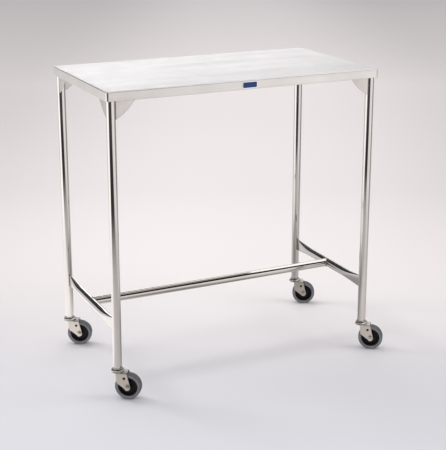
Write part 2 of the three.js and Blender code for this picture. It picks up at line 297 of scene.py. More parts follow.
# Rises from 0 to 1, stays there, and falls back to 0
def hump(value, start, full, fade, end):
    return between(value, start, full) - between(value, fade, end)


def floorGlow(away, angle):
    s = mirrorSet
    shade = s["underDeck"] + (1 - s["underDeck"]) * between(away, *s["shadeEdge"])
    near = ringValue(mirrorNear, angle) * shade
    far = between(away, s["nearEdge"], s["farEdge"])
    return near * (1 - far) + ringValue(mirrorRing, angle) * far


def domeGlow(up, angle):
    s = mirrorSet
    band = ringValue(mirrorRing, angle)
    backLight = s["backLow"] + (1 - s["backLow"]) * between(up, *s["backRise"])
    band += (ringValue(mirrorBack, angle) * backLight - band) * between(abs(angle), *s["backSpan"])
    flag = hump(angle, *s["flagSpan"])
    top = [a + (b - a) * flag for a, b in zip(s["bandTop"], s["flagTop"])]
    band *= 1 - between(up, *top)
    sides = hump(angle, *s["leftSpan"]) + hump(angle, *s["rightSpan"])
    sides *= between(up, *s["ceilingFrom"])
    ceiling = s["ceiling"] * (sides + between(up, *s["crownFrom"]) * (1 - sides))
    box = s["boxGlow"] * hump(angle, *s["boxSpan"]) * hump(up, *s["boxRise"])
    return s["dark"] + band + ceiling + box


# How bright the mirror set is at one of its points
def mirrorGlow(point):
    offset = Vector(point) - Vector((deckMid.x, deckMid.y, 0))
    away = offset.to_2d().length
    angle = math.degrees(math.atan2(offset.x, -offset.y)) - cameraSet["azimuth"]
    angle = (angle + 180) % 360 - 180
    if offset.z < 2 * mirrorSet["floorLift"]:
        return floorGlow(away, angle)
    return domeGlow(math.degrees(math.atan2(offset.z, away)), angle)


# Joins rings of points of equal count, and closes the ends or the loop
def ringFaces(ringCount, count, loop=False):
    faces = []
    for j in range(ringCount if loop else ringCount - 1):
        k = (j + 1) % ringCount
        for i in range(count):
            n = (i + 1) % count
            faces.append((j * count + i, j * count + n, k * count + n, k * count + i))
    if not loop:
        faces.append(tuple(range(count)))
        faces.append(tuple((ringCount - 1) * count + i for i in range(count)))
    return faces


# Seen by reflections only: a floor disc and a dome whose brightness follows mirrorGlow
def addMirrorSet():
    s = mirrorSet
    around, radius, lift = s["around"], s["radius"], s["floorLift"]
    rings = []
    out = s["firstRing"]
    while out < radius:
        rings.append((out, lift))
        out *= s["ringGrowth"]
    rings.append((radius, lift))
    up = s["ringRise"]
    while up < 90:
        rings.append((radius * math.cos(math.radians(up)), radius * math.sin(math.radians(up))))
        up += s["ringRise"]
    verts = []
    for out, z in rings:
        for i in range(around):
            angle = i / around * fullTurn
            verts.append((deckMid.x + out * math.cos(angle), deckMid.y + out * math.sin(angle), z))
    mesh = bpy.data.meshes.new("mirrorSet")
    mesh.from_pydata(verts, [], ringFaces(len(rings), around))
    glow = mesh.attributes.new("glow", "FLOAT", "POINT")
    glow.data.foreach_set("value", [mirrorGlow(v) for v in verts])
    mesh.materials.append(glowMaterial("mirrorGlow"))
    holder = bpy.data.objects.new("mirrorSet", mesh)
    bpy.context.collection.objects.link(holder)
    holder.visible_camera = False
    holder.visible_diffuse = False
    holder.visible_shadow = False
    holder.visible_transmission = False
    holder.visible_volume_scatter = False


def addWorld():
    world = bpy.data.worlds.new("studio")
    bpy.context.scene.world = world
    world.use_nodes = True
    tree = world.node_tree
    back = tree.nodes["Background"]
    place = tree.nodes.new("ShaderNodeTexCoord")
    split = tree.nodes.new("ShaderNodeSeparateXYZ")
    tree.links.new(place.outputs["Generated"], split.inputs[0])
    height = addMath(tree, "MULTIPLY_ADD", split.outputs["Z"], 0.5)
    height.node.inputs[2].default_value = 0.5
    ramp = addRamp(tree, skyTones)
    tree.links.new(height, ramp.inputs[0])
    tree.links.new(ramp.outputs[0], back.inputs["Color"])
    back.inputs["Strength"].default_value = studio["sky"]


def addSoftbox(name, angle, elevation, distance, size, power):
    data = bpy.data.lights.new(name, "AREA")
    data.shape = "SQUARE"
    data.size = size
    data.energy = power
    light = bpy.data.objects.new(name, data)
    toLight = directionFrom(cameraSet["azimuth"] + angle, elevation)
    light.location = Vector((deckMid.x, deckMid.y, studio["lightAim"])) + toLight * distance
    light.rotation_mode = "QUATERNION"
    light.rotation_quaternion = (-toLight).to_track_quat("-Z", "Y")
    light.visible_glossy = False
    bpy.context.collection.objects.link(light)


bpy.context.scene.view_settings.view_transform = "Standard"
addCamera()
addWorld()
addFloor()
addMirrorSet()
for name, values in softboxes.items():
    addSoftbox(name, *values)
print("stage: camera, floor, mirror set and lights")


# Finishes

def startMaterial(name, metallic, roughness):
    material = bpy.data.materials.new(name)
    material.use_nodes = True
    shader = material.node_tree.nodes["Principled BSDF"]
    shader.inputs["Metallic"].default_value = metallic
    shader.inputs["Roughness"].default_value = roughness
    return material, material.node_tree, shader


def addNoise(tree, scale, detail=3.0, distortion=0.0):
    place = tree.nodes.new("ShaderNodeTexCoord")
    mapping = tree.nodes.new("ShaderNodeMapping")
    mapping.inputs["Scale"].default_value = scale
    noise = tree.nodes.new("ShaderNodeTexNoise")
    noise.inputs["Scale"].default_value = 1
    noise.inputs["Detail"].default_value = detail
    noise.inputs["Distortion"].default_value = distortion
    tree.links.new(place.outputs["Object"], mapping.inputs["Vector"])
    tree.links.new(mapping.outputs[0], noise.inputs["Vector"])
    return noise.outputs["Fac"]


def addBump(tree, shader, heights):
    last = None
    for height, distance in heights:
        bump = tree.nodes.new("ShaderNodeBump")
        bump.inputs["Distance"].default_value = distance
        tree.links.new(height, bump.inputs["Height"])
        if last:
            tree.links.new(last, bump.inputs["Normal"])
        last = bump.outputs[0]
    tree.links.new(last, shader.inputs["Normal"])


# Stainless: light and dark are its two tones, rough its lowest and highest roughness, grain the
# scale of the polishing lines along X, Y and Z, wave that of slow dents, and streak that of rolling marks
def steel(name, light, dark, rough, grain, grainDepth, wave=(3, 3, 3), waveDepth=0.0, streak=None):
    material, tree, shader = startMaterial(name, 1.0, rough[0])
    lines = addNoise(tree, grain, 4.0)
    cloud = addNoise(tree, (9, 9, 9), 3.0, 0.4)  # slow changes of tone
    smear = addNoise(tree, (45, 45, 45), 2.0, 1.0)  # handling marks
    colour = mixColour(tree, spread(tree, cloud, 0, 1), light, dark)
    shade = mixColour(tree, spread(tree, lines, 0, 0.35), colour, dark)
    base = spread(tree, lines, rough[0], rough[1])
    if streak:
        long = addNoise(tree, streak, 5.0, 0.2)
        shade = mixColour(tree, spread(tree, long, 0, 0.45, 0.42, 0.66), shade, dark)
        base = addMath(tree, "ADD", base, spread(tree, long, -0.012, 0.018, 0.35, 0.65))
    tree.links.new(shade, shader.inputs["Base Color"])
    extra = spread(tree, smear, -0.02, 0.02)
    tree.links.new(addMath(tree, "ADD", base, extra), shader.inputs["Roughness"])
    heights = [(lines, grainDepth)]
    if waveDepth:
        heights.append((addNoise(tree, wave, 1.0), waveDepth))
    addBump(tree, shader, heights)
    return material


# Moulded or painted: specks is the scale of its fine texture, and depth how deep that is
def plastic(name, light, dark, rough, specks, depth, shine=0.3):
    material, tree, shader = startMaterial(name, 0.0, rough[0])
    cloud = addNoise(tree, (60, 60, 60), 3.0, 0.5)
    fine = addNoise(tree, specks, 3.0)
    tree.links.new(mixColour(tree, spread(tree, cloud, 0, 1), light, dark),
                   shader.inputs["Base Color"])
    tree.links.new(spread(tree, fine, rough[0], rough[1]), shader.inputs["Roughness"])
    shader.inputs["Specular IOR Level"].default_value = shine
    addBump(tree, shader, [(fine, depth)])
    return material


# Wheel rubber, darker on the tread's crown where it meets the floor: partly wear, partly painted shade on
# the tread
def rubber(name, light, dark, wornAndShaded):
    material = plastic(name, light, dark, (0.46, 0.64), (900, 900, 900), 0.00008)
    tree = material.node_tree
    shader = tree.nodes["Principled BSDF"]
    plain = shader.inputs["Base Color"].links[0].from_socket
    wear = tree.nodes.new("ShaderNodeAttribute")
    wear.attribute_name = "wear"
    patchy = addNoise(tree, (110, 110, 110), 4.0, 0.6)
    amount = addMath(tree, "MULTIPLY", wear.outputs["Fac"], spread(tree, patchy, 0.55, 1.0))
    tree.links.new(mixColour(tree, amount, plain, wornAndShaded), shader.inputs["Base Color"])
    return material


finishes = {
    "deck": steel("deckSteel", (0.70, 0.67, 0.655), (0.62, 0.59, 0.57), (0.30, 0.38),
                  (2.5, 700, 700), 0.00004, (2.2, 4.5, 3), 0.0012, (1.6, 46, 46)),
    "gusset": steel("gussetSteel", (0.60, 0.565, 0.55), (0.50, 0.465, 0.445), (0.20, 0.32),
                    (70, 70, 9), 0.000008),
    "leg": steel("legSteel", (0.63, 0.595, 0.585), (0.56, 0.525, 0.51), (0.06, 0.12),
                 (500, 500, 6), 0.00001),
    "rail": steel("railSteel", (0.61, 0.58, 0.57), (0.53, 0.50, 0.485), (0.07, 0.14),
                  (500, 8, 500), 0.00001),
    "stretcher": steel("stretcherSteel", (0.64, 0.595, 0.565), (0.56, 0.51, 0.475), (0.06, 0.13),
                       (6, 500, 500), 0.00001),
    "weld": steel("weldSteel", (0.50, 0.47, 0.43), (0.34, 0.31, 0.27), (0.22, 0.40),
                  (900, 900, 900), 0.00006),
    "plated": steel("platedSteel", (0.66, 0.61, 0.56), (0.52, 0.475, 0.43), (0.34, 0.48),
                    (420, 420, 420), 0.00003),
    "bright": steel("brightSteel", (0.55, 0.53, 0.515), (0.40, 0.38, 0.365), (0.05, 0.12),
                    (300, 300, 60), 0.00001),
    "core": plastic("coreBlack", (0.003, 0.003, 0.004), (0.006, 0.006, 0.008), (0.36, 0.50),
                    (1500, 1500, 1500), 0.00003, 0.16),
    # the third colour darkens the tread's crown: partly wear, partly painted shade
    "tread": rubber("treadGrey", (0.25, 0.25, 0.268), (0.17, 0.17, 0.185), (0.055, 0.055, 0.062)),
    "blue": plastic("labelBlue", (0.016, 0.045, 0.19), (0.012, 0.036, 0.16), (0.22, 0.32),
                    (700, 700, 700), 0.00001),
    "rim": steel("labelRim", (0.86, 0.86, 0.86), (0.78, 0.78, 0.78), (0.22, 0.30),
                 (300, 300, 300), 0.00001),
}
print("finishes:", len(finishes))


# Shapes

def closePiece(name, mesh, finish, body, replaced=(), sharp=32):
    mesh.materials.clear()
    mesh.materials.append(finishes[finish])
    mesh.polygons.foreach_set("use_smooth", [True] * len(mesh.polygons))
    mesh.polygons.foreach_set("material_index", [0] * len(mesh.polygons))
    mesh.set_sharp_from_angle(angle=math.radians(sharp))
    piece = bpy.data.objects.new(name, mesh)
    bpy.context.collection.objects.link(piece)
    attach(piece, body)
    if replaced:
        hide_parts(*replaced)
    return piece


def meshFrom(name, verts, faces, place=None):
    work = bmesh.new()
    points = [work.verts.new(v) for v in verts]
    for face in faces:
        work.faces.new([points[i] for i in face])
    bmesh.ops.remove_doubles(work, verts=work.verts, dist=1e-7)
    bmesh.ops.recalc_face_normals(work, faces=work.faces)
    if place:
        bmesh.ops.transform(work, matrix=place, verts=work.verts)
    mesh = bpy.data.meshes.new(name)
    work.to_mesh(mesh)
    work.free()
    return mesh


# Rounds the corners of a list of (x, y, radius)
def filleted(points, steps=4, closed=True):
    out = []
    for i, (x, y, radius) in enumerate(points):
        atEnd = not closed and i in (0, len(points) - 1)
        if radius <= 0 or atEnd:
            out.append((x, y))
            continue
        here = Vector((x, y))
        before = Vector(points[i - 1][:2]) - here
        after = Vector(points[(i + 1) % len(points)][:2]) - here
        half = before.angle(after) / 2
        cut = min(radius / math.tan(half), before.length * 0.49, after.length * 0.49)
        real = cut * math.tan(half)
        middle = here + (before.normalized() + after.normalized()).normalized() * real / math.sin(half)
        start = here + before.normalized() * cut - middle
        end = here + after.normalized() * cut - middle
        first = math.atan2(start.y, start.x)
        swing = (math.atan2(end.y, end.x) - first + math.pi) % fullTurn - math.pi
        for k in range(steps + 1):
            angle = first + swing * k / steps
            out.append((middle.x + real * math.cos(angle), middle.y + real * math.sin(angle)))
    return out


# Turns a profile of (radius, height) in metres about Z; a profile off the axis closes on itself
def turnedMesh(name, profile, segments, place=None):
    onAxis = profile[0][0] < 1e-9
    verts = []
    for radius, height in profile:
        for i in range(segments):
            angle = i / segments * fullTurn
            verts.append((radius * math.cos(angle), radius * math.sin(angle), height))
    faces = ringFaces(len(profile), segments, loop=not onAxis)
    if onAxis:
        faces = faces[:-2]
    work = bmesh.new()
    points = [work.verts.new(v) for v in verts]
    for face in faces:
        work.faces.new([points[i] for i in face])
    bmesh.ops.remove_doubles(work, verts=work.verts, dist=1e-8)
    bmesh.ops.dissolve_degenerate(work, edges=work.edges, dist=1e-8)
    bmesh.ops.recalc_face_normals(work, faces=work.faces)
    if place:
        bmesh.ops.transform(work, matrix=place, verts=work.verts)
    mesh = bpy.data.meshes.new(name)
    work.to_mesh(mesh)
    work.free()
    return mesh


def insetOutline(outline, distance):
    out = []
    count = len(outline)
    for i, point in enumerate(outline):
        here = Vector(point)
        before = (here - Vector(outline[i - 1])).normalized()
        after = (Vector(outline[(i + 1) % count]) - here).normalized()
        along = (before + after).normalized()
        inward = Vector((-along.y, along.x))
        stretch = 1 / max(0.5, along.dot(before))
        out.append(tuple(here + inward * distance * stretch))
    return out


# A plate from an outline that runs anticlockwise, with its edges rounded
def softPlate(name, outline, low, high, edge, place=None, steps=3):
    rings = []
    for k in range(steps + 1):
        angle = k / steps * math.pi / 2
        rings.append((edge * (1 - math.sin(angle)), low + edge * (1 - math.cos(angle))))
    rings += [(inset, low + high - z) for inset, z in reversed(rings)]
    verts = []
    for inset, z in rings:
        verts += [(x, y, z) for x, y in insetOutline(outline, inset)]
    return meshFrom(name, verts, ringFaces(len(rings), len(outline)), place)


def deckOutline(inset, radius, steps=10):
    halfX = (deckHigh.x - deckLow.x) / 2 - inset
    halfY = (deckHigh.y - deckLow.y) / 2 - inset
    points = []
    for quarter, (sx, sy) in enumerate(((1, 1), (-1, 1), (-1, -1), (1, -1))):
        for k in range(steps + 1):
            angle = (quarter + k / steps) * math.pi / 2
            points.append((
                deckMid.x + sx * (halfX - radius) + radius * math.cos(angle),
                deckMid.y + sy * (halfY - radius) + radius * math.sin(angle),
            ))
    return points


# Deck

deckSizes = {
    "sheet": 1.2 * mm,
    "edge": 2.4 * mm,  # outside bend at the top edge
    "flatFrom": 6 * mm,  # the flat top starts this far inside the bend
    "corner": 7 * mm,
    "innerCorner": 1.5 * mm,
    "hem": 12 * mm,
    "hemSoft": 0.4 * mm,
}


def deckRings():
    sheet, edge, hem = deckSizes["sheet"], deckSizes["edge"], deckSizes["hem"]
    soft = deckSizes["hemSoft"]
    top, bottom = deckHigh.z, deckLow.z
    rings = [(edge + deckSizes["flatFrom"], top)]
    for k in range(7):
        angle = k / 6 * math.pi / 2
        rings.append((edge * (1 - math.sin(angle)), top - edge * (1 - math.cos(angle))))
    for k in range(9):
        angle = k / 8 * math.pi
        rings.append((sheet * (1 - math.cos(angle)), bottom + sheet * (1 - math.sin(angle))))
    rings.append((2 * sheet, bottom + hem - soft))
    rings.append((2 * sheet - soft, bottom + hem))
    rings.append((sheet, bottom + hem + 0.05 * mm))
    inner = edge - sheet
    for k in range(5):
        angle = k / 4 * math.pi / 2
        rings.append((sheet + inner * (1 - math.cos(angle)), top - edge + inner * math.sin(angle)))
    rings.append((edge + deckSizes["flatFrom"], top - sheet))
    return rings


def makeDeck():
    verts = []
    rings = deckRings()
    for inset, z in rings:
        radius = max(deckSizes["corner"] - inset, deckSizes["innerCorner"])
        verts += [(x, y, z) for x, y in deckOutline(inset, radius)]
    mesh = meshFrom("deckSheet", verts, ringFaces(len(rings), len(deckOutline(0, 1))))
    closePiece("deckSheet", mesh, "deck", "frame", ["deck"])


labelSizes = {
    "corner": 4 * mm,
    "rim": 1.7 * mm,
    "faceCorner": 2.6 * mm,
    "rimSoft": 0.25 * mm,
    "faceSoft": 0.12 * mm,
    "rimRise": 0.75,  # shares of the plate's thickness
    "faceFrom": 0.6,
}


def makeLabel():
    s = labelSizes
    low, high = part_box("label_plate")
    width, height, thickness = high.x - low.x, high.z - low.z, high.y - low.y
    middle = (low + high) / 2
    facing = Matrix.Translation((middle.x, high.y, middle.z)) @ upright

    def outline(inset, radius):
        x, y = width / 2 - inset, height / 2 - inset
        return filleted([(-x, -y, radius), (x, -y, radius), (x, y, radius), (-x, y, radius)], 8)

    plate = softPlate("labelRim", outline(0, s["corner"]), 0, thickness * s["rimRise"],
                      s["rimSoft"], facing)
    closePiece("labelRim", plate, "rim", "frame", ["label_plate"])
    face = softPlate("labelFace", outline(s["rim"], s["faceCorner"]), thickness * s["faceFrom"],
                     thickness, s["faceSoft"], facing)
    closePiece("labelFace", face, "blue", "frame")


makeDeck()
makeLabel()
print("deck and label")


# Legs, gussets and brace

tubeSizes = {
    "radius": 12.7 * mm,
    "wall": 1.6 * mm,
    "gap": 0.3 * mm,  # between pieces that touch, seat or are welded
    "soft": 0.4 * mm,
    "segments": 64,
}
legs = {name: sum(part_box(f"leg_{name}"), Vector()) / 2 for name in corners}


def makeLeg(name):
    low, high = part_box(f"leg_{name}")
    outer, inner = tubeSizes["radius"], tubeSizes["radius"] - tubeSizes["wall"]
    soft = tubeSizes["soft"]
    profile = filleted([(inner, low.z, soft), (outer, low.z, soft),
                        (outer, high.z, soft), (inner, high.z, soft)], 3)
    place = Matrix.Translation((legs[name].x, legs[name].y, 0))
    mesh = turnedMesh(f"legTube_{name}", profile, tubeSizes["segments"], place)
    closePiece(f"legTube_{name}", mesh, "leg", "frame", [f"leg_{name}"])


gussetSizes = {
    "reach": 76 * mm,
    "bowAlong": 0.6,  # of the reach, where the lower edge's control point stands
    "bowRise": 16 * mm,
    "endHeight": 12 * mm,
    "edge": 0.45 * mm,
    "steps": 24,
}


def gussetOutline(begin, drop, gap):
    sizes = gussetSizes
    start = Vector((begin, -drop))
    bend = Vector((sizes["bowAlong"] * sizes["reach"], -drop + sizes["bowRise"]))
    end = Vector((sizes["reach"], -sizes["endHeight"]))
    curve = []
    for k in range(sizes["steps"] + 1):
        t = k / sizes["steps"]
        curve.append(tuple(start * (1 - t) ** 2 + bend * 2 * t * (1 - t) + end * t * t))
    return curve + [(sizes["reach"], -gap), (begin, -gap)]


def makeGusset(name, run):
    node = f"gusset_{name}_{run}"
    low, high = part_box(node)
    ceiling = high.z + tubeSizes["gap"]
    sideways = run == "long"
    thickness = (high.y - low.y) if sideways else (high.x - low.x)
    middle = (low + high) / 2
    leg = legs[name]
    if sideways:
        begin = min(abs(low.x - leg.x), abs(high.x - leg.x))
        turn = 0 if leg.x < deckMid.x else math.pi
        spot = Vector((leg.x, middle.y, ceiling))
    else:
        begin = min(abs(low.y - leg.y), abs(high.y - leg.y))
        turn = math.pi / 2 if leg.y < deckMid.y else -math.pi / 2
        spot = Vector((middle.x, leg.y, ceiling))
    outline = gussetOutline(begin, ceiling - low.z, tubeSizes["gap"])
    place = Matrix.Translation(spot) @ Matrix.Rotation(turn, 4, "Z") @ upright
    mesh = softPlate(f"gussetPlate_{name}_{run}", outline, -thickness / 2, thickness / 2,
                     gussetSizes["edge"], place)
    closePiece(f"gussetPlate_{name}_{run}", mesh, "gusset", "frame", [node])


for name in corners:
    makeLeg(name)
    makeGusset(name, "long")
    makeGusset(name, "end")
print("legs and gussets")

railSizes = {
    "flatThickness": 3.4 * mm,
    "flatLength": 17 * mm,  # quite flat this far from the leg's axis
    "pressLength": 100 * mm,
    "segments": 56,
    "sections": 26,  # in each transition
}


# How flat the tube is, part of the way along the press: it starts gently and ends sharply
def pressed(t):
    return t * t * (1.5 - 0.5 * t)


def pressedRing(flatness):
    diameter = 2 * tubeSizes["radius"]
    thickness = diameter + (railSizes["flatThickness"] - diameter) * flatness
    height = math.pi * (diameter - thickness) / 2 + thickness
    straight = (height - thickness) / 2
    ring = []
    count = railSizes["segments"]
    for i in range(count):
        angle = (i + 0.5) / count * fullTurn
        rise = straight if math.sin(angle) > 0 else -straight
        ring.append((thickness / 2 * math.cos(angle), thickness / 2 * math.sin(angle) + rise))
    return ring


def makeRail(side):
    low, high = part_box(f"side_rail_{side}")
    middle = (low + high) / 2
    legY = legs[f"back_{side}"].y - middle.y
    flatFrom = legY - railSizes["flatLength"]
    stops = [(0, 0.0)]
    for k in range(railSizes["sections"] + 1):
        t = k / railSizes["sections"]
        stops.append((flatFrom - railSizes["pressLength"] * (1 - t), pressed(t)))
    reach = tubeSizes["radius"] + tubeSizes["gap"]
    half = []
    for y, flatness in stops:
        half.append([(x, y, z) for x, z in pressedRing(flatness)])
    half.append([(x, legY - math.sqrt(reach ** 2 - x ** 2), z) for x, z in pressedRing(1)])
    mirrored = [[(x, -y, z) for x, y, z in ring] for ring in reversed(half[1:])]
    verts = [v for ring in mirrored + half for v in ring]
    place = Matrix.Translation(middle)
    faces = ringFaces(2 * len(half) - 1, railSizes["segments"])
    mesh = meshFrom(f"sideRail_{side}", verts, faces, place)
    closePiece(f"sideRail_{side}", mesh, "rail", "frame", [f"side_rail_{side}"])


def makeStretcher():
    low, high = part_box("centre_stretcher")
    middle = (low + high) / 2
    radius = tubeSizes["radius"]
    railX = legs["front_right"].x - middle.x
    reach = radius + tubeSizes["gap"]
    count = tubeSizes["segments"]
    ends = []
    for share in (-1, -0.97, 0.97, 1):  # the copes, and plain rings close behind them
        ring = []
        for i in range(count):
            angle = i / count * fullTurn
            y, z = radius * math.cos(angle), radius * math.sin(angle)
            cope = railX - math.sqrt(reach ** 2 - z ** 2)
            ring.append((share * cope if abs(share) == 1 else share * railX, y, z))
        ends += ring
    mesh = meshFrom("stretcherTube", ends, ringFaces(4, count), Matrix.Translation(middle))
    closePiece("stretcherTube", mesh, "stretcher", "frame", ["centre_stretcher"])


makeRail("left")
makeRail("right")
makeStretcher()
print("brace")


# Weld beads, laid along paths

weldSizes = {
    "radius": 1.7 * mm,
    "pitch": 1.3 * mm,
    "flatten": 0.8,
    "smallest": 0.88,  # a drop's size varies from this
    "largest": 1.1,
    "seed": 4,
    "railOut": 0.6 * mm,  # off the flattened rail's side
    "railRise": 0.5 * mm,  # off the leg
    "tubeOut": 0.3 * mm,
    "tubeRise": 0.4 * mm,
    "sink": 0.5 * mm,  # into a leg, from its gusset's edge
    "clear": 2 * mm,  # of a gusset's ends
    "steps": 48,
}


def addInput(tree, name, kind):
    return tree.interface.new_socket(name, in_out="INPUT", socket_type=kind).identifier


def weldTree():
    tree = bpy.data.node_groups.new("weldBead", "GeometryNodeTree")
    keys = {"path": addInput(tree, "Path", "NodeSocketGeometry")}
    keys["pitch"] = addInput(tree, "Pitch", "NodeSocketFloat")
    keys["radius"] = addInput(tree, "Radius", "NodeSocketFloat")
    keys["flatten"] = addInput(tree, "Flatten", "NodeSocketFloat")
    keys["seed"] = addInput(tree, "Seed", "NodeSocketInt")
    keys["material"] = addInput(tree, "Material", "NodeSocketMaterial")
    tree.interface.new_socket("Geometry", in_out="OUTPUT", socket_type="NodeSocketGeometry")
    start = tree.nodes.new("NodeGroupInput")
    toCurve = tree.nodes.new("GeometryNodeMeshToCurve")
    toPoints = tree.nodes.new("GeometryNodeCurveToPoints")
    toPoints.mode = "LENGTH"
    drop = tree.nodes.new("GeometryNodeMeshIcoSphere")
    drop.inputs["Subdivisions"].default_value = 2
    vary = tree.nodes.new("FunctionNodeRandomValue")
    vary.inputs[2].default_value = weldSizes["smallest"]
    vary.inputs[3].default_value = weldSizes["largest"]
    shape = tree.nodes.new("ShaderNodeCombineXYZ")
    shape.inputs[0].default_value = 1
    shape.inputs[1].default_value = 1
    stretch = tree.nodes.new("ShaderNodeVectorMath")
    stretch.operation = "SCALE"
    place = tree.nodes.new("GeometryNodeInstanceOnPoints")
    realize = tree.nodes.new("GeometryNodeRealizeInstances")
    paint = tree.nodes.new("GeometryNodeSetMaterial")
    end = tree.nodes.new("NodeGroupOutput")
    join = tree.links.new
    join(start.outputs["Path"], toCurve.inputs["Mesh"])
    join(toCurve.outputs[0], toPoints.inputs["Curve"])
    join(start.outputs["Pitch"], toPoints.inputs["Length"])
    join(start.outputs["Radius"], drop.inputs["Radius"])
    join(start.outputs["Seed"], vary.inputs["Seed"])
    join(start.outputs["Flatten"], shape.inputs[2])
    join(shape.outputs[0], stretch.inputs[0])
    join(vary.outputs[1], stretch.inputs["Scale"])
    join(toPoints.outputs["Points"], place.inputs["Points"])
    join(toPoints.outputs["Rotation"], place.inputs["Rotation"])
    join(drop.outputs["Mesh"], place.inputs["Instance"])
    join(stretch.outputs[0], place.inputs["Scale"])
    join(place.outputs[0], realize.inputs[0])
    join(realize.outputs[0], paint.inputs["Geometry"])
    join(start.outputs["Material"], paint.inputs["Material"])
    join(paint.outputs[0], end.inputs[0])
    return tree, keys


def grown(name, mesh, tree, values):
    seedObject = bpy.data.objects.new(name, mesh)
    bpy.context.collection.objects.link(seedObject)
    modifier = seedObject.modifiers.new("grow", "NODES")
    modifier.node_group = tree
    for key, value in values.items():
        modifier[key] = value
    bpy.context.view_layer.update()
    evaluated = seedObject.evaluated_get(bpy.context.evaluated_depsgraph_get())
    result = bpy.data.meshes.new_from_object(evaluated)
    seedObject.modifiers.remove(modifier)
    bpy.data.objects.remove(seedObject)
    return result


def railEndPath(side, end):
    low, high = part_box(f"side_rail_{side}")
    middle = (low + high) / 2
    leg = legs[f"{end}_{side}"]
    toward = 1 if end == "back" else -1
    reach = tubeSizes["radius"] + weldSizes["railRise"]
    path = []
    for x, z in pressedRing(1):
        x += math.copysign(weldSizes["railOut"], x)
        path.append((middle.x + x, leg.y - toward * math.sqrt(reach ** 2 - x ** 2), middle.z + z))
    return path


def stretcherEndPath(side):
    low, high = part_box("centre_stretcher")
    middle = (low + high) / 2
    toward = 1 if side == "right" else -1
    railX = legs[f"front_{side}"].x
    radius = tubeSizes["radius"]
    reach = radius + weldSizes["tubeRise"]
    path = []
    for i in range(weldSizes["steps"]):
        angle = i / weldSizes["steps"] * fullTurn
        y, z = (radius + weldSizes["tubeOut"]) * math.cos(angle), radius * math.sin(angle)
        path.append((railX - toward * math.sqrt(reach ** 2 - z ** 2), middle.y + y, middle.z + z))
    return path


# Down the seam between a leg's side and the edge of its gusset
def gussetPath(name, run):
    low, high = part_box(f"gusset_{name}_{run}")
    leg = legs[name]
    x, y = ((low + high) / 2).xy
    sink, clear = weldSizes["sink"], weldSizes["clear"]
    if run == "long":
        x = low.x - sink if leg.x < deckMid.x else high.x + sink
    else:
        y = low.y - sink if leg.y < deckMid.y else high.y + sink
    return [(x, y, low.z + clear), (x, y, high.z - clear)]


def makeWelds():
    tree, keys = weldTree()
    closed = [railEndPath(side, end) for side in ("left", "right") for end in ("front", "back")]
    closed += [stretcherEndPath(side) for side in ("left", "right")]
    straight = [gussetPath(name, run) for name in corners for run in ("long", "end")]
    verts, edges = [], []
    for path, isClosed in [(p, True) for p in closed] + [(p, False) for p in straight]:
        start = len(verts)
        verts += path
        edges += [(start + i, start + i + 1) for i in range(len(path) - 1)]
        if isClosed:
            edges.append((len(verts) - 1, start))
    mesh = bpy.data.meshes.new("weldPaths")
    mesh.from_pydata(verts, edges, [])
    beads = grown("weldPaths", mesh, tree, {
        keys["pitch"]: weldSizes["pitch"],
        keys["radius"]: weldSizes["radius"],
        keys["flatten"]: weldSizes["flatten"],
        keys["seed"]: weldSizes["seed"],
        keys["material"]: finishes["weld"],
    })
    closePiece("weldBeads", beads, "weld", "frame", sharp=180)


makeWelds()
print("welds")


# Casters: every piece is drawn once about the swivel axis, with the wheel trailing along +X

casterSizes = {
    "stemRadius": 6 * mm,
    "headRadius": 10 * mm,
    "headHeight": 5 * mm,
    "flangeEdge": 0.7 * mm,
    "capThickness": 3 * mm,
    "capSheet": 1.8 * mm,
    "capEdge": 1.2 * mm,
    "capStep": 0.62,  # of the cap's radius, where its raised middle ends
    "bendInner": 1.1 * mm,
    "forkSheet": 2.5 * mm,
    "forkEdge": 0.35 * mm,
    "sideClearance": 2 * mm,  # between the wheel and each fork leg
    "front": 33 * mm,
    "frontLow": 31 * mm,
    "frontLowRise": 13 * mm,
    "rear": 2 * mm,
    "tip": 8.5 * mm,
    "corner": 5 * mm,
    "holeRadius": 4 * mm,
    "holeAhead": 9 * mm,
    "holeRise": 27 * mm,
    "boltRadius": 4 * mm,
    "bushRadius": 6.3 * mm,
    "hexAcross": 12.7 * mm,
    "hexHeight": 5 * mm,
    "shankBeyond": 8.5 * mm,  # of the thread's end, from the nut's inner face
    "washerRadius": 8.2 * mm,
    "washerHeight": 1.2 * mm,
    "pitch": 1.25 * mm,
    "threadDepth": 0.55 * mm,
    "ballRadius": 1.5 * mm,
    "balls": 16,
}


def swivelPlace(name):
    swivel = Vector(joints[f"swivel_{name}"]["pos_m"])
    roll = Vector(joints[f"roll_{name}"]["pos_m"])
    trail = roll - swivel
    turn = math.atan2(trail.y, trail.x)
    return Matrix.Translation((swivel.x, swivel.y, 0)) @ Matrix.Rotation(turn, 4, "Z")


def axleSpot():
    swivel = Vector(joints["swivel_front_left"]["pos_m"])
    roll = Vector(joints["roll_front_left"]["pos_m"])
    return (roll - swivel).to_2d().length, roll.z


trail, axleHeight = axleSpot()
axleMiddle = Matrix.Translation((trail, 0, axleHeight))
axlePlace = axleMiddle @ upright
stemBore = casterSizes["stemRadius"] + tubeSizes["gap"]


# Heights of a turned piece, from the boxes of one caster's nodes
def heights(node):
    low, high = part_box(f"{node}_front_left")
    return low.z, high.z


def widest(node):
    low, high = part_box(f"{node}_back_left")
    return max(high.x - low.x, high.y - low.y) / 2


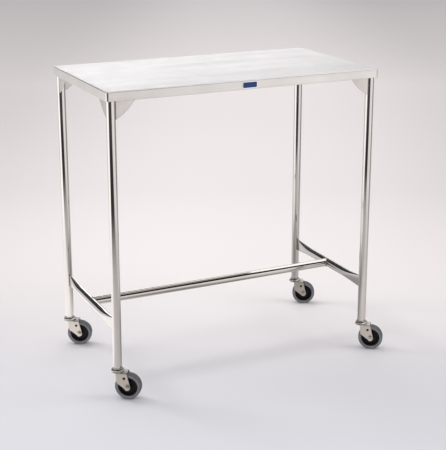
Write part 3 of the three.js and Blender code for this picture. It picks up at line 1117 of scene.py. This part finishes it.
def socketMesh():
    low, top = heights("leg_socket")
    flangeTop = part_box("leg_front_left")[0].z - tubeSizes["gap"]
    bore, plug = stemBore, tubeSizes["radius"] - tubeSizes["wall"] - tubeSizes["gap"]
    flange = widest("leg_socket")
    soft = casterSizes["flangeEdge"]
    profile = filleted([
        (bore, low, 0), (flange, low, soft * 1.6), (flange, flangeTop, soft),
        (plug, flangeTop, 0), (plug, top, soft), (bore, top, 0),
    ], 5)
    return turnedMesh("socket", profile, 64)


def stemMesh():
    low, top = heights("caster_stem")
    crownLow = low + casterSizes["headHeight"]
    head, stem = casterSizes["headRadius"], casterSizes["stemRadius"]
    profile = filleted([
        (0, low, 0), (head * 0.55, low, 2 * mm), (head, crownLow - 2.4 * mm, 1.4 * mm),
        (head, crownLow, 0.3 * mm), (stem, crownLow, 0), (stem, top, 1 * mm), (0, top, 0),
    ], 5, closed=False)
    return turnedMesh("stem", profile, 48)


def capMesh():
    low, top = heights("race_cap")
    outer = widest("race_cap")
    sheet, soft = casterSizes["capSheet"], casterSizes["capEdge"]
    web = top - casterSizes["capThickness"]
    bore = stemBore
    step = outer * casterSizes["capStep"]
    profile = filleted([
        (bore, web, 0), (outer - sheet, web, 0.5 * mm), (outer - sheet, low, 0.3 * mm),
        (outer, low, 0.5 * mm), (outer, top - 2.3 * mm, soft), (outer - 2.6 * mm, top - 0.9 * mm, 1.6 * mm),
        (step + 0.6 * mm, top - 1.2 * mm, 1 * mm), (step - 0.6 * mm, top, 0.6 * mm),
        (bore, top, 0.2 * mm),
    ], 5)
    return turnedMesh("cap", profile, 72)


def ballTree():
    tree = bpy.data.node_groups.new("ballRace", "GeometryNodeTree")
    keys = {"count": addInput(tree, "Balls", "NodeSocketInt")}
    keys["ring"] = addInput(tree, "Ring Radius", "NodeSocketFloat")
    keys["radius"] = addInput(tree, "Ball Radius", "NodeSocketFloat")
    keys["material"] = addInput(tree, "Material", "NodeSocketMaterial")
    tree.interface.new_socket("Geometry", in_out="OUTPUT", socket_type="NodeSocketGeometry")
    start = tree.nodes.new("NodeGroupInput")
    circle = tree.nodes.new("GeometryNodeCurvePrimitiveCircle")
    ball = tree.nodes.new("GeometryNodeMeshIcoSphere")
    ball.inputs["Subdivisions"].default_value = 3
    place = tree.nodes.new("GeometryNodeInstanceOnPoints")
    realize = tree.nodes.new("GeometryNodeRealizeInstances")
    paint = tree.nodes.new("GeometryNodeSetMaterial")
    end = tree.nodes.new("NodeGroupOutput")
    join = tree.links.new
    join(start.outputs["Balls"], circle.inputs["Resolution"])
    join(start.outputs["Ring Radius"], circle.inputs["Radius"])
    join(start.outputs["Ball Radius"], ball.inputs["Radius"])
    join(circle.outputs[0], place.inputs["Points"])
    join(ball.outputs["Mesh"], place.inputs["Instance"])
    join(place.outputs[0], realize.inputs[0])
    join(realize.outputs[0], paint.inputs["Geometry"])
    join(start.outputs["Material"], paint.inputs["Material"])
    join(paint.outputs[0], end.inputs[0])
    return tree, keys


def ballMesh():
    tree, keys = ballTree()
    low = heights("ball_ring")[0]
    holder = bpy.data.meshes.new("ballSpot")
    holder.from_pydata([(0, 0, 0)], [], [])
    mesh = grown("ballSpot", holder, tree, {
        keys["count"]: casterSizes["balls"],
        keys["ring"]: widest("ball_ring") - casterSizes["ballRadius"],
        keys["radius"]: casterSizes["ballRadius"],
        keys["material"]: finishes["bright"],
    })
    mesh.transform(Matrix.Translation((0, 0, low + casterSizes["ballRadius"])))
    return mesh


def cageMesh():
    low, high = heights("ball_ring")
    outer = widest("ball_ring") - 2.2 * casterSizes["ballRadius"]
    inner = outer - 3 * mm
    profile = filleted([(inner, low, 0.3 * mm), (outer, low, 0.3 * mm),
                        (outer, high, 0.3 * mm), (inner, high, 0.3 * mm)], 3)
    return turnedMesh("cage", profile, 48)


def tangentAngle(x, z, turn):
    return math.atan2(z, x) + turn * math.acos(casterSizes["tip"] / math.hypot(x, z))


def forkLegOutline(top):
    s = casterSizes
    start = tangentAngle(-s["frontLow"], s["frontLowRise"], 1)
    end = tangentAngle(-s["rear"], top, -1) + fullTurn
    steps = 20
    tip = []
    for k in range(steps + 1):
        angle = start + (end - start) * k / steps
        tip.append((s["tip"] * math.cos(angle), s["tip"] * math.sin(angle), 0))
    return filleted([(-s["front"], top, 0), (-s["frontLow"], s["frontLowRise"], s["corner"])]
                    + tip + [(-s["rear"], top, 0)], 6)


def circlePoints(radius, x=0.0, y=0.0, steps=32):
    return [(x + radius * math.cos(i / steps * fullTurn), y + radius * math.sin(i / steps * fullTurn))
            for i in range(steps)]


def prism(name, outline, low, high, place):
    verts = [(x, y, low) for x, y in outline] + [(x, y, high) for x, y in outline]
    return meshFrom(name, verts, ringFaces(2, len(outline)), place)


def combine(target, tools):
    base = bpy.data.objects.new("work", target)
    bpy.context.collection.objects.link(base)
    helpers = []
    for operation, mesh in tools:
        helper = bpy.data.objects.new("tool", mesh)
        bpy.context.collection.objects.link(helper)
        helpers.append(helper)
        modifier = base.modifiers.new("cut", "BOOLEAN")
        modifier.operation = operation
        modifier.object = helper
        modifier.solver = "EXACT"
    bevel = base.modifiers.new("edges", "BEVEL")
    bevel.width = casterSizes["forkEdge"]
    bevel.segments = 2
    bevel.limit_method = "ANGLE"
    bevel.angle_limit = math.radians(40)
    bpy.context.view_layer.update()
    evaluated = base.evaluated_get(bpy.context.evaluated_depsgraph_get())
    result = bpy.data.meshes.new_from_object(evaluated)
    for item in [base, *helpers]:
        bpy.data.objects.remove(item)
    return result


def forkMesh():
    s = casterSizes
    crownLow = heights("caster_fork")[1] - s["forkSheet"] - axleHeight
    crownTop = crownLow + s["forkSheet"]
    lowCap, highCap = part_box("axle_bush_back_left")
    axis = Vector(joints["roll_back_left"]["axis"])
    bushHalf = (highCap.y - lowCap.y - 2 * s["bushRadius"] * abs(axis.x)) / abs(axis.y) / 2
    inner = bushHalf + tubeSizes["gap"]
    outer = inner + s["forkSheet"]
    foot = -2 * s["tip"]
    soft = s["bendInner"]
    bend = filleted([
        (outer, foot, 0), (outer, crownTop, soft + s["forkSheet"]),
        (-outer, crownTop, soft + s["forkSheet"]), (-outer, foot, 0),
        (-inner, foot, 0), (-inner, crownLow, soft), (inner, crownLow, soft), (inner, foot, 0),
    ], 8)
    alongTrail = axleMiddle @ Matrix.Rotation(math.pi / 2, 4, "Z") @ upright
    shell = prism("bend", bend, -80 * mm, 80 * mm, alongTrail)
    sides = prism("legs", forkLegOutline(crownTop + 0.1 * mm), -40 * mm, 40 * mm, axlePlace)
    crownZ = crownLow + axleHeight
    race = widest("race_cap")
    disc = turnedMesh("disc", filleted([
        (0, crownZ, 0), (race, crownZ, 0.8 * mm),
        (race, crownZ + s["forkSheet"], 0.9 * mm), (0, crownZ + s["forkSheet"], 0)],
        4, closed=False), 72)
    pin = turnedMesh("pin", [(0, crownZ - 30 * mm), (stemBore, crownZ - 30 * mm),
                             (stemBore, crownZ + 20 * mm), (0, crownZ + 20 * mm)], 32)
    hole = circlePoints(s["holeRadius"], -s["holeAhead"], s["holeRise"])
    bore = circlePoints(s["boltRadius"] + tubeSizes["gap"])
    return combine(shell, [
        ("INTERSECT", sides),
        ("UNION", disc),
        ("DIFFERENCE", pin),
        ("DIFFERENCE", prism("hole", hole, -60 * mm, 60 * mm, axlePlace)),
        ("DIFFERENCE", prism("bore", bore, -60 * mm, 60 * mm, axlePlace)),
    ]), inner, outer


def hexMesh(name, low, high, bore=0.0):
    corner = casterSizes["hexAcross"] / math.sqrt(3)
    body = prism(name, circlePoints(corner, steps=6), low, high, None)
    crown = turnedMesh("crown", filleted([
        (0, low, 0), (corner * 0.9, low, 0), (corner * 1.02, low + 0.9 * mm, 0),
        (corner * 1.02, high - 0.9 * mm, 0), (corner * 0.9, high, 0), (0, high, 0)],
        1, closed=False), 48)
    tools = [("INTERSECT", crown)]
    if bore:
        hole = turnedMesh("hole", [(0, low - 0.01), (bore, low - 0.01),
                                   (bore, high + 0.01), (0, high + 0.01)], 32)
        tools.append(("DIFFERENCE", hole))
    return combine(body, tools)


def threadProfile(low, high, radius):
    pitch = casterSizes["pitch"]
    root = radius - casterSizes["threadDepth"]
    points = []
    turns = int((high - low) / pitch)
    for k in range(turns):
        z = low + k * pitch
        points += [(radius, z + 0.15 * pitch), (radius, z + 0.35 * pitch),
                   (root, z + 0.75 * pitch), (root, z + 0.85 * pitch)]
    return points + [(root - 0.15 * mm, high), (0, high)]


wheelSizes = {
    "shoulder": 5 * mm,
    "treadDepth": 9.4 * mm,
    "crownDrop": 0.5 * mm,  # from the middle of the tread to its shoulders
    "rimInset": 1 * mm,
    "rimDepth": 4.3 * mm,
    "webHalf": 5 * mm,
    "hubRadius": 11 * mm,
    "hubProud": 1 * mm,
    "bore": 6.6 * mm,  # turns on the axle's bush
}


def tyreProfile(radius, half):
    s = wheelSizes
    inner = radius - s["treadDepth"]
    side = [
        (inner, -half + 0.9 * mm, 0.4 * mm),
        (inner + 1.6 * mm, -half + 0.25 * mm, 0.8 * mm),
        (inner + 3.2 * mm, -half, 1.2 * mm),
        (radius - s["crownDrop"], -half, s["shoulder"]),
        (radius - 0.25 * mm, -0.35 * half, 2 * mm),
        (radius - 0.05 * mm, -0.5 * mm, 0.2 * mm),
        (radius, -0.25 * mm, 0.1 * mm),
    ]
    mirrored = [(r, -v, f) for r, v, f in reversed(side)]
    return filleted(side + mirrored, 7)


def coreProfile(radius, half):
    s = wheelSizes
    outer = radius - s["treadDepth"] - tubeSizes["gap"]
    rimInner = outer - s["rimDepth"]
    side = [
        (s["bore"], -half - s["hubProud"], 0.4 * mm),
        (s["hubRadius"], -half - s["hubProud"], 0.8 * mm),
        (s["hubRadius"] + 0.5 * mm, -s["webHalf"] - 1.2 * mm, 1.6 * mm),
        (s["hubRadius"] + 5 * mm, -s["webHalf"], 2 * mm),
        (rimInner - 1.5 * mm, -s["webHalf"] - 0.3 * mm, 1.6 * mm),
        (rimInner, -half + s["rimInset"], 0.8 * mm),
        (outer - 1.4 * mm, -half + s["rimInset"], 0.5 * mm),
        (outer, -half + s["rimInset"] + 0.8 * mm, 0.4 * mm),
    ]
    mirrored = [(r, -v, f) for r, v, f in reversed(side)]
    return filleted(side + mirrored, 5)


# Marks the tread: 1 on its crown, 0 down its sides; the darkening it drives is partly wear and partly
# painted shade
def tyreMesh(radius, half):
    mesh = turnedMesh("tyre", tyreProfile(radius, half), 128)
    wear = mesh.attributes.new("wear", "FLOAT", "POINT")
    wornAndShaded = []
    for vertex in mesh.vertices:
        out = vertex.co.to_2d().length
        wornAndShaded.append(min(max((out - radius + 3.2 * mm) / (2.4 * mm), 0), 1))
    wear.data.foreach_set("value", wornAndShaded)
    return mesh


def makeCasters():
    s = casterSizes
    forkShape, inner, outer = forkMesh()
    half = inner - s["sideClearance"]
    radius = axleHeight
    gap = tubeSizes["gap"]
    bolt, bushEnd = s["boltRadius"], inner - gap
    nutInner = outer + gap
    headLow = -nutInner - s["hexHeight"]
    washerTop = nutInner + s["washerHeight"]
    nutLow = washerTop + 0.1 * mm
    bush = filleted([
        (bolt + gap, -bushEnd, 0.2 * mm), (s["bushRadius"], -bushEnd, 0.3 * mm),
        (s["bushRadius"], bushEnd, 0.3 * mm), (bolt + gap, bushEnd, 0.2 * mm),
    ], 2)
    shankLow = -nutInner + 0.2 * mm
    shank = [(0, shankLow), (bolt, shankLow), (bolt, nutInner - gap)]
    shank += threadProfile(nutInner, nutInner + s["shankBeyond"], bolt)
    headShape = hexMesh("head", headLow, -nutInner)
    washer = turnedMesh("washer", filleted([
        (bolt + gap, nutInner, 0), (s["washerRadius"], nutInner, 0.3 * mm),
        (s["washerRadius"], washerTop, 0.4 * mm), (bolt + gap, washerTop, 0)], 3), 48)
    nutShape = hexMesh("nut", nutLow, nutLow + s["hexHeight"] + 0.1 * mm, bolt + gap)
    parts = (
        ("legSocket", socketMesh(), "bright", "frame", ["leg_socket"], None),
        ("casterStem", stemMesh(), "plated", "frame", ["caster_stem"], None),
        ("raceCap", capMesh(), "bright", "frame", ["race_cap"], None),
        ("raceBalls", ballMesh(), "bright", "swivel", ["ball_ring"], None),
        ("ballCage", cageMesh(), "plated", "swivel", [], None),
        ("casterFork", forkShape, "plated", "swivel", ["caster_fork"], None),
        ("axleBush", turnedMesh("bush", bush, 40), "plated", "swivel", ["axle_bush"], axlePlace),
        ("axleShank", turnedMesh("shank", shank, 40), "plated", "swivel", ["axle_bolt"], axlePlace),
        ("axleHead", headShape, "plated", "swivel", [], axlePlace),
        ("axleWasher", washer, "plated", "swivel", [], axlePlace),
        ("axleNut", nutShape, "plated", "swivel", ["axle_nut"], axlePlace),
        ("tyre", tyreMesh(radius, half), "tread", "wheel", ["tyre"], axlePlace),
        ("wheelCore", turnedMesh("core", coreProfile(radius, half), 96), "core", "wheel",
         ["wheel_core"], axlePlace),
    )
    for name in corners:
        place = swivelPlace(name)
        for part, shape, finish, owner, nodes, local in parts:
            mesh = shape.copy()
            mesh.transform(place @ local if local else place)
            body = "frame" if owner == "frame" else f"{owner}_{name}"
            closePiece(f"{part}_{name}", mesh, finish, body, [f"{n}_{name}" for n in nodes])


makeCasters()
print("casters")
